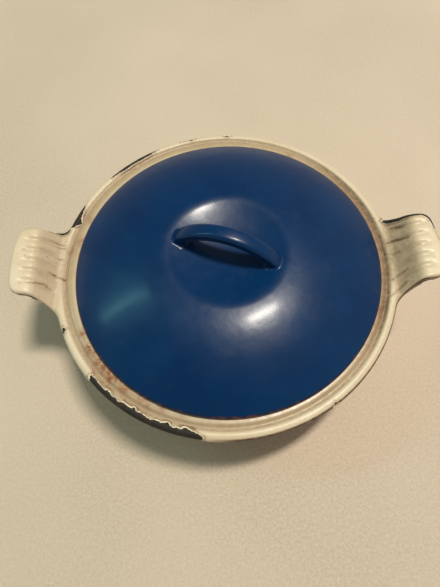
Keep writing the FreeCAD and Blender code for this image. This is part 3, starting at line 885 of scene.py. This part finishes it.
def make_pot():
    grid, past, turn = rim_grid()
    field = chip_field(grid, past)
    moved, field = snapped(grid, field)
    normals = grid_normals(grid)
    faces = coat_faces(field)
    flat, flat_field = moved.reshape(-1, 3), field.ravel()

    towards = np.zeros(grid.shape)
    for axis, step in NEIGHBOURS:
        there = np.roll(field, -step, axis=axis) > 0
        towards += np.where(there[..., None], unit(np.roll(moved, -step, axis=axis) - moved), 0)
    spread = np.where((field == 0)[..., None], unit(towards) * UNDERCUT, 0).reshape(-1, 3)
    vertices, coat, used = shell(flat, normals.reshape(-1, 3), faces, ENAMEL, spread)
    edge_distance = flat_field[used]
    dirt_and_shade, rust = soiling_and_shade(flat[used])
    turn_used = np.degrees(np.arctan2(flat[used, 1], flat[used, 0]))
    near_side = smoothstep(*NEAR_SIDE_START, turn_used) * (1 - smoothstep(*NEAR_SIDE_END, turn_used))
    # Painted shade on the rim's outer edge and side, on the near side only
    lower_edge_shade = smoothstep(-1.3, -0.1, past.ravel()[used]) * near_side
    dirt_and_shade = np.clip(dirt_and_shade + LOWER_EDGE_SHADE * lower_edge_shade, 0, 1)
    dirt_and_shade = np.clip(dirt_and_shade + CHIP_DIRT[0] * smoothstep(-CHIP_DIRT[1], 0.0, edge_distance), 0, 1)
    rust = np.clip(rust + CHIP_RUST[0] * smoothstep(-CHIP_RUST[1], -0.1, edge_distance), 0, 1)
    broken = (edge_distance == 0) * BROKEN
    top = np.stack([dirt_and_shade * (1 - broken), rust * (1 - broken), broken], 1)
    under = np.stack([dirt_and_shade * UNDERSIDE_SHARE, rust * UNDERSIDE_SHARE, broken], 1)
    make_piece("pot_rim_enamel", vertices, coat, CREAM, "pot", ["pot_outer_enamel"],
               np.vstack([top, under]), 60.0)

    inside, wall, base = meridians()
    for name, line, material, replaced in (
        ("pot_wall_enamel", wall, CREAM, "pot_outer_enamel"),
        ("pot_base_enamel_skin", base, CREAM, "pot_base_enamel"),
        ("pot_inside_enamel", inside, CREAM_INSIDE, "pot_inner_enamel"),
    ):
        points, faces = closed_turning(between(line, ENAMEL))
        if name == "pot_inside_enamel":
            dirt_and_shade, rust = soiling_and_shade(points)
            r = np.hypot(points[:, 0], points[:, 1])
            stains = smoothstep(-0.3, 0.5, fractal(points, 40.0, 4, 2.0))
            dirt_and_shade = np.clip(dirt_and_shade + 0.5 * (r < 100) * stains, 0, 1)
        else:
            # Darker towards the bottom of the wall, and darker again below 5 mm
            dirt_and_shade = 0.3 * smoothstep(60.0, 10.0, points[:, 2]) + 0.25 * (points[:, 2] < 5)
            rust = 0.0 * dirt_and_shade
        make_piece(name, points, faces, material, "pot", [replaced],
                   np.stack([dirt_and_shade, rust, 0 * dirt_and_shade], 1), 60.0)
    make_pot_iron(grid[:, ::2], normals[:, ::2], turn[::2], inside, wall)


def make_pot_iron(grid, normals, turn, inside, wall):
    """The casting under the enamel: the same faces, a coat's depth in, with the bare foot ring."""
    depth = ENAMEL + IRON_GAP
    foot = rounded([
        (FOOT[1], BASE_Z + depth, 0),
        (FOOT[1], 0.0, 0.6),
        (FOOT[0], 0.0, 0.6),
        (FOOT[0], BASE_Z + depth, 0),
        (0.0, BASE_Z + depth, 0),
    ])
    inner = inside + line_normals(inside) * depth
    outer = wall + line_normals(wall) * depth
    under = grid - normals * depth
    rough = fractal(under.reshape(-1, 3), 1.7, 3, 5.0).reshape(under.shape[:2])
    under = under + normals * (IRON_ROUGHNESS * rough)[..., None]
    outside = np.vstack([outer[1:-1:2], refined(foot, 6.0)[:-1]])
    rings = np.concatenate([spun(inner[1:-1:2], turn), under[1:-1], spun(outside, turn)])
    points, faces = capped(rings, inner[0][1], BASE_Z + depth)
    make_piece("pot_iron", points, faces, IRON, "pot", ["pot_casting"], None, 50.0)


make_pot()


# The lid ----------------------------------------

LOOP_CENTRE_Z = LID_Z + LOOP_END_Z
LOOP_RISE = LOOP_TOP_Z - LOOP_THICK / 2 - LOOP_CENTRE_Z
LOOP_BEND = (LOOP_REACH ** 2 + LOOP_RISE ** 2) / (2 * LOOP_RISE)
LOOP_ARC_Z = LOOP_TOP_Z - LOOP_THICK / 2 - LOOP_BEND
DOME_Z = LID_Z + LID_EDGE - math.sqrt(DOME_R ** 2 - (LID_R - DOME_AT) ** 2)
CREST_Z = DOME_Z + math.sqrt((DOME_R - CREST_BEND) ** 2 - (CREST_AT - DOME_AT) ** 2)
DISH_Z = CREST_Z + math.sqrt((DISH_R + CREST_BEND) ** 2 - CREST_AT ** 2)
DISH_END = CREST_AT * DISH_R / (DISH_R + CREST_BEND)
DOME_START = DOME_AT + (CREST_AT - DOME_AT) * DOME_R / (DOME_R - CREST_BEND)
# The loop's flare into the lid, up along the loop and out over the lid, on its inner and its outer side
FLARE_UP, FLARE_OUT = (4.6, 2.0), (4.2, 1.8)


def lid_height(r):
    """Height of the lid's top face: a dish in the middle, a rolled crest round it and the dome outside."""
    dish = DISH_Z - np.sqrt(DISH_R ** 2 - np.minimum(r, DISH_R) ** 2)
    crest = CREST_Z + np.sqrt(np.maximum(CREST_BEND ** 2 - (r - CREST_AT) ** 2, 0))
    dome = DOME_Z + np.sqrt(DOME_R ** 2 - (r - DOME_AT) ** 2)
    return np.where(r < DISH_END, dish, np.where(r < DOME_START, crest, dome))


def lid_line():
    """The lid's top face and edge, down to its foot, as a line of (r, z)."""
    r = np.concatenate([
        np.arange(0, DISH_END, 1.2),
        np.linspace(DISH_END, DOME_START, 12),
        np.arange(DOME_START + 1.2, LID_R - 1.5, 1.4),
    ])
    top = np.stack([r, lid_height(r)], 1)
    edge = rounded([
        (LID_R - 1.5, float(lid_height(np.array(LID_R - 1.5))), 0),
        (LID_R, LID_Z + LID_EDGE, 1.0),
        (LID_R, LID_Z, 0.9),
        (LID_R - 1.6, LID_Z, 0),
    ], 0.3)
    return np.vstack([top, edge])


def loop_section(count=40, power=3.2):
    """The loop's section, a rounded rectangle: offsets away from the arc's centre and sideways, and normals."""
    turn = np.linspace(0, 2 * math.pi, count, endpoint=False)
    c, s = np.cos(turn), np.sin(turn)
    out = LOOP_THICK / 2 * np.sign(c) * np.abs(c) ** (2 / power)
    side = LOOP_WIDTH / 2 * np.sign(s) * np.abs(s) ** (2 / power)
    normal_out = np.sign(c) * np.abs(c) ** (2 - 2 / power) / LOOP_THICK
    normal_side = np.sign(s) * np.abs(s) ** (2 - 2 / power) / LOOP_WIDTH
    return out, side, unit(np.stack([normal_out, normal_side], 1))


def loop_mesh():
    """Vertices and faces of the cast loop over the dish, flared where each end runs into the lid."""
    out, side, normal = loop_section()
    bend = LOOP_BEND + out
    below = []
    for b, y in zip(bend, side):
        turn = np.linspace(0.3, 1.5, 2400)
        x, z = b * np.sin(turn), LOOP_ARC_Z + b * np.cos(turn)
        hit = np.argmax(z < lid_height(np.hypot(x, y)))
        below.append(turn[hit])
    below = np.array(below)
    outer = smoothstep(-0.6, 0.2, normal[:, 0])
    leave = below - (FLARE_UP[0] + (FLARE_UP[1] - FLARE_UP[0]) * outer) / bend
    half = []
    for share in np.linspace(0, 1, 28):
        turn = leave * share
        half.append(np.stack([bend * np.sin(turn), side, LOOP_ARC_Z + bend * np.cos(turn)], 1))
    first = half[-1]
    corner = np.stack([bend * np.sin(below), side, LOOP_ARC_Z + bend * np.cos(below)], 1)
    along = unit(np.stack([normal[:, 0] * np.sin(below), normal[:, 1]], 1))
    foot = corner[:, :2] + along * (FLARE_OUT[0] + (FLARE_OUT[1] - FLARE_OUT[0]) * outer)[:, None]
    last = np.column_stack([foot, lid_height(np.hypot(foot[:, 0], foot[:, 1])) - 0.03])
    for share in np.linspace(0, 1, 9)[1:]:
        half.append((1 - share) ** 2 * first + 2 * share * (1 - share) * corner + share ** 2 * last)
    half.append(half[-1] - np.array([0, 0, 0.35]))
    other = [ring * np.array([-1, 1, 1]) for ring in half[1:]]
    rings = np.array(other[::-1] + half)
    points = rings.reshape(-1, 3)
    faces = ring_faces(len(rings), rings.shape[1]).tolist()
    first_ring = list(range(rings.shape[1]))
    last_ring = [i + (len(rings) - 1) * rings.shape[1] for i in first_ring]
    return points, faces + [first_ring, last_ring[::-1]]


def on_lid(points):
    """Points of the lid's own frame, turned and moved to where the lid lies."""
    c, s = math.cos(LID_TURN), math.sin(LID_TURN)
    x, y = points[:, 0] * c - points[:, 1] * s, points[:, 0] * s + points[:, 1] * c
    return np.column_stack([x + LID_CENTRE[0], y + LID_CENTRE[1], points[:, 2]])


def lid_marks(points):
    """A thin line round the lid's foot: rust, and painted shade of the gap under the lid."""
    r = np.hypot(points[:, 0] - LID_CENTRE[0], points[:, 1] - LID_CENTRE[1])
    low = 1 - smoothstep(LID_Z + 1.9, LID_Z + 2.7, points[:, 2])
    rust = np.maximum(low, smoothstep(LID_R - 1.6, LID_R - 0.8, r))
    return np.stack([0 * r, rust * (r > LID_R - 6), 0 * r], 1)


def make_lid():
    line = lid_line()
    inwards = line_normals(line)
    points, faces = closed_turning(between(line, ENAMEL), 300)
    points = on_lid(points)
    make_piece("lid_blue_enamel", points, faces, BLUE, "lid", ["lid_outer_enamel"],
               lid_marks(points), 50.0)
    upper = line + inwards * (ENAMEL + IRON_GAP)
    upper[0, 0] = 0.0
    upper = upper[upper[:, 1] > LID_Z + 0.2]
    middle = line[:, 0] < LIP_R[0] - 2
    under = line[middle] + inwards[middle] * (LID_WALL - ENAMEL)
    under[0, 0] = 0.0
    lip = rounded([
        (upper[-1][0], LID_Z + 0.2, 0),
        (upper[-1][0] - 0.4, LID_Z, 0.3),
        (LIP_R[1], LID_Z, 0.8),
        (LIP_R[1], LIP_Z, 1.0),
        (LIP_R[0], LIP_Z, 1.0),
        (LIP_R[0] - 0.6, under[-1][1] - 1.0, 1.0),
        (under[-1][0], under[-1][1], 0),
    ], 0.3)
    points, faces = closed_turning(np.vstack([upper, lip[:-1], under[::-1]]), 240)
    make_piece("lid_iron", on_lid(points), faces, IRON, "lid", ["lid_casting"], None, 50.0)
    points, faces = loop_mesh()
    points = on_lid(points)
    make_piece("lid_loop_enamel", points, faces, BLUE, "lid", ["lid_outer_enamel"],
               lid_marks(points), 60.0)


make_lid()

# Camera, lights and floor -----------------------

CAMERA_AT = (0.002323, -0.161770, 0.3778)
CAMERA_RIGHT = (0.99908732, -0.02635422, -0.03361534)
CAMERA_UP = (0.03794351, 0.90899309, 0.41508053)
CAMERA_BACK = (0.01961699, -0.41597718, 0.90916344)
LENS, SENSOR = 27.05, 36.0
FLOOR_HALF = 4.0
LAMP_AT = (0.42, 0.2, 2.2)
WALL_GLOW, CEILING_GLOW, LAMP_GLOW, SIDE_GLOW = 0.26, 0.1, 0.27, 0.16


def make_camera():
    camera = bpy.data.cameras.new("camera")
    camera.lens, camera.sensor_width, camera.sensor_fit = LENS, SENSOR, "AUTO"
    camera.clip_start = 0.01
    holder = bpy.data.objects.new("camera", camera)
    turn = Matrix((CAMERA_RIGHT, CAMERA_UP, CAMERA_BACK)).transposed()
    holder.matrix_world = Matrix.Translation(CAMERA_AT) @ turn.to_4x4()
    bpy.context.scene.collection.objects.link(holder)
    bpy.context.scene.camera = holder


def make_strip_light(name, start, end, width, power, colour):
    """A long area light from start to end, facing the pot."""
    start, end = Vector(start), Vector(end)
    light = bpy.data.lights.new(name, "AREA")
    light.shape, light.size, light.size_y = "RECTANGLE", (end - start).length, width
    light.energy, light.color = power, colour
    lamp = bpy.data.objects.new(name, light)
    along, middle = (end - start).normalized(), (start + end) / 2
    back = (middle - along * middle.dot(along)).normalized()
    turn = Matrix((along, back.cross(along), back)).transposed()
    lamp.matrix_world = Matrix.Translation(middle) @ turn.to_4x4()
    bpy.context.scene.collection.objects.link(lamp)


def make_floor():
    mesh = bpy.data.meshes.new("floor")
    corners = [(x * FLOOR_HALF, y * FLOOR_HALF, 0) for x, y in ((-1, -1), (1, -1), (1, 1), (-1, 1))]
    mesh.from_pydata(corners, [], [(0, 1, 2, 3)])
    mesh.materials.append(floor_material())
    floor = bpy.data.objects.new("floor", mesh)
    bpy.context.scene.collection.objects.link(floor)


def make_world():
    """A dim room: low walls brighter than the ceiling, which glows softly round the lamp."""
    world = bpy.data.worlds.new("studio")
    world.use_nodes = True
    nodes, links = world.node_tree.nodes, world.node_tree.links
    sky = nodes["Background"]
    place = nodes.new("ShaderNodeTexCoord").outputs["Generated"]

    def towards(direction, start, end, low, high):
        """A value that goes from low to high as a direction's cosine to this one goes from start to end."""
        dot = nodes.new("ShaderNodeVectorMath")
        dot.operation = "DOT_PRODUCT"
        links.new(place, dot.inputs[0])
        dot.inputs[1].default_value = Vector(direction).normalized()
        spread = nodes.new("ShaderNodeMapRange")
        spread.interpolation_type = "SMOOTHSTEP"
        for name, value in (("From Min", start), ("From Max", end), ("To Min", low), ("To Max", high)):
            spread.inputs[name].default_value = value
        links.new(dot.outputs["Value"], spread.inputs["Value"])
        return spread.outputs["Result"]

    def add(a, b):
        node = nodes.new("ShaderNodeMath")
        links.new(a, node.inputs[0])
        links.new(b, node.inputs[1])
        return node.outputs[0]

    walls = towards((0, 0, 1), 0.0, 0.85, WALL_GLOW, CEILING_GLOW)
    lamp = towards(LAMP_AT, 0.8, 1.0, 0.0, LAMP_GLOW)
    right = towards((1, 0.2, 0.25), 0.2, 1.0, 0.0, SIDE_GLOW)
    links.new(add(add(walls, lamp), right), sky.inputs["Strength"])
    sky.inputs["Color"].default_value = (1.0, 0.96, 0.91, 1.0)
    bpy.context.scene.world = world
    bpy.context.scene.view_settings.view_transform = "Standard"


make_camera()
make_floor()
make_world()
make_strip_light("key", (0.24, 0.09, 2.2), (0.6, 0.31, 2.2), 0.16, 42.0, (1.0, 0.92, 0.8))
make_strip_light("window", (-1.85, 0.06, 1.1), (-1.02, 0.48, 1.85), 0.13, 5.6, (0.42, 1.0, 0.86))

# The lid's inner coat keeps its CAD shape and only gets a material
for material_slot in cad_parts["lid_inner_enamel"].material_slots:
    material_slot.material = CREAM_INSIDE
